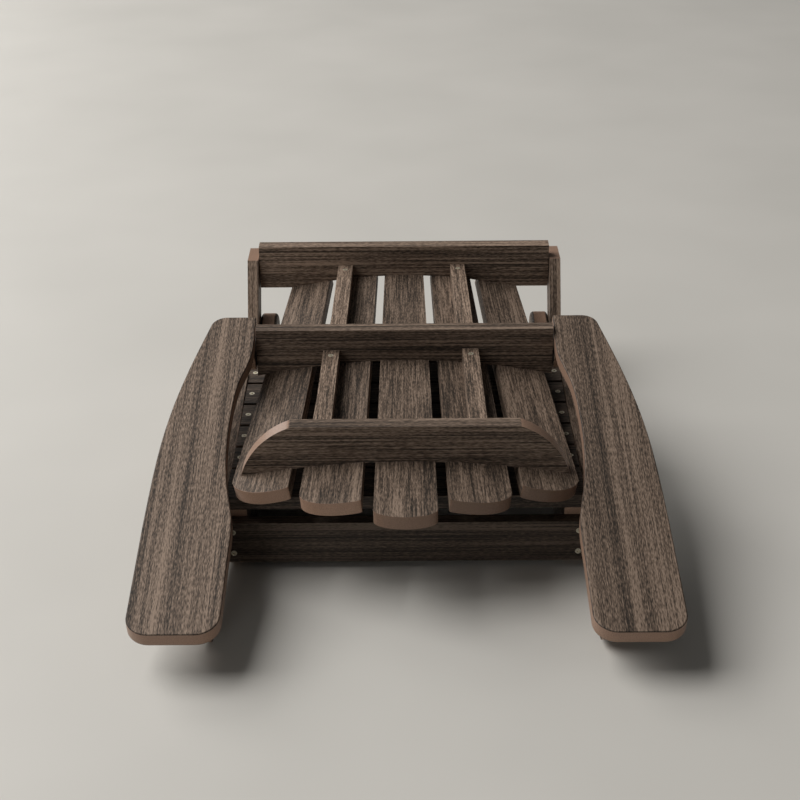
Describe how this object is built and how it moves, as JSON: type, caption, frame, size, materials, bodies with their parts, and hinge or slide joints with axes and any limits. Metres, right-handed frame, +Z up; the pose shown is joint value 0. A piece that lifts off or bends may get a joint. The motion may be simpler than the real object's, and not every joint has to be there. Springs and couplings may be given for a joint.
{
  "type": "folding lounge chair",
  "caption": "Folding lounge chair of wood-grain plastic boards, folded flat, with a fan back, broad arms, a slatted seat and bolted pivots that let it open.",
  "frame": {"origin": "centre of the folded chair's footprint, on the floor", "axes": "+Z up, +X to the right seen from the front, -Y towards the front, where the arms and the tops of the back slats end"},
  "size_m": [0.7328, 0.9821, 0.2403],
  "materials": {
    "lumber": "streaked wood-grain skin with paler cut edges",
    "brass_screws": "brassy plated countersunk heads",
    "steel": "zinc-plated bolts and nuts",
    "nylon": "black moulded washers"
  },
  "bodies": {
    "seat_frame": {"apron_screws": "brass_screws", "front_apron": "lumber", "left_post": "lumber", "left_stringer": "lumber", "leg_pivot_bolts": "steel", "leg_pivot_nuts": "steel", "leg_pivot_washers": "nylon", "post_bolts": "steel", "post_nuts": "steel", "right_post": "lumber", "right_stringer": "lumber", "seat_screws": "brass_screws", "seat_slat_1": "lumber", "seat_slat_2": "lumber", "seat_slat_3": "lumber", "seat_slat_4": "lumber", "seat_slat_5": "lumber", "seat_slat_6": "lumber", "seat_slat_7": "lumber"},
    "back": {"arm_rear_bolts": "steel", "arm_rear_washers": "nylon", "back_hinge_bolts": "steel", "back_hinge_washers": "nylon", "back_slat_1": "lumber", "back_slat_2": "lumber", "back_slat_3": "lumber", "back_slat_4": "lumber", "back_slat_5": "lumber", "back_slat_screws": "brass_screws", "batten_screws": "brass_screws", "left_lower_batten": "lumber", "left_upper_batten": "lumber", "lower_back_rail": "lumber", "middle_back_rail": "lumber", "right_lower_batten": "lumber", "right_upper_batten": "lumber", "top_back_rail": "lumber"},
    "left_leg": {"left_arm_front_bolt": "steel", "left_arm_front_nut": "steel", "left_arm_front_washer": "nylon", "left_front_leg": "lumber"},
    "right_leg": {"right_arm_front_bolt": "steel", "right_arm_front_nut": "steel", "right_arm_front_washer": "nylon", "right_front_leg": "lumber"},
    "left_arm": {"left_arm": "lumber", "left_arm_front_cleat": "lumber", "left_arm_rear_cleat": "lumber", "left_arm_screws": "brass_screws"},
    "right_arm": {"right_arm": "lumber", "right_arm_front_cleat": "lumber", "right_arm_rear_cleat": "lumber", "right_arm_screws": "brass_screws"}
  },
  "joints": [
    {"name": "back_fold", "type": "hinge", "parent": "seat_frame", "child": "back", "pos_m": [0, 0.44891, 0.193], "axis": [-1, 0, 0], "range_deg": [0, 92]},
    {"name": "left_leg_fold", "type": "hinge", "parent": "seat_frame", "child": "left_leg", "pos_m": [0, -0.08209, 0.058], "axis": [-1, 0, 0], "range_deg": [0, 92]},
    {"name": "left_arm_fold", "type": "hinge", "parent": "left_leg", "child": "left_arm", "pos_m": [0, -0.40763, 0.03647], "axis": [-1, 0, 0], "range_deg": [-92, 0]},
    {"name": "right_leg_fold", "type": "hinge", "parent": "seat_frame", "child": "right_leg", "pos_m": [0, -0.08209, 0.058], "axis": [-1, 0, 0], "range_deg": [0, 92]},
    {"name": "right_arm_fold", "type": "hinge", "parent": "right_leg", "child": "right_arm", "pos_m": [0, -0.40763, 0.03647], "axis": [-1, 0, 0], "range_deg": [-92, 0]}
  ],
  "couplings": [
    {"joint": "left_leg_fold", "follows": "back_fold", "ratio": 1},
    {"joint": "left_arm_fold", "follows": "back_fold", "ratio": -1},
    {"joint": "right_leg_fold", "follows": "back_fold", "ratio": 1},
    {"joint": "right_arm_fold", "follows": "back_fold", "ratio": -1}
  ]
}
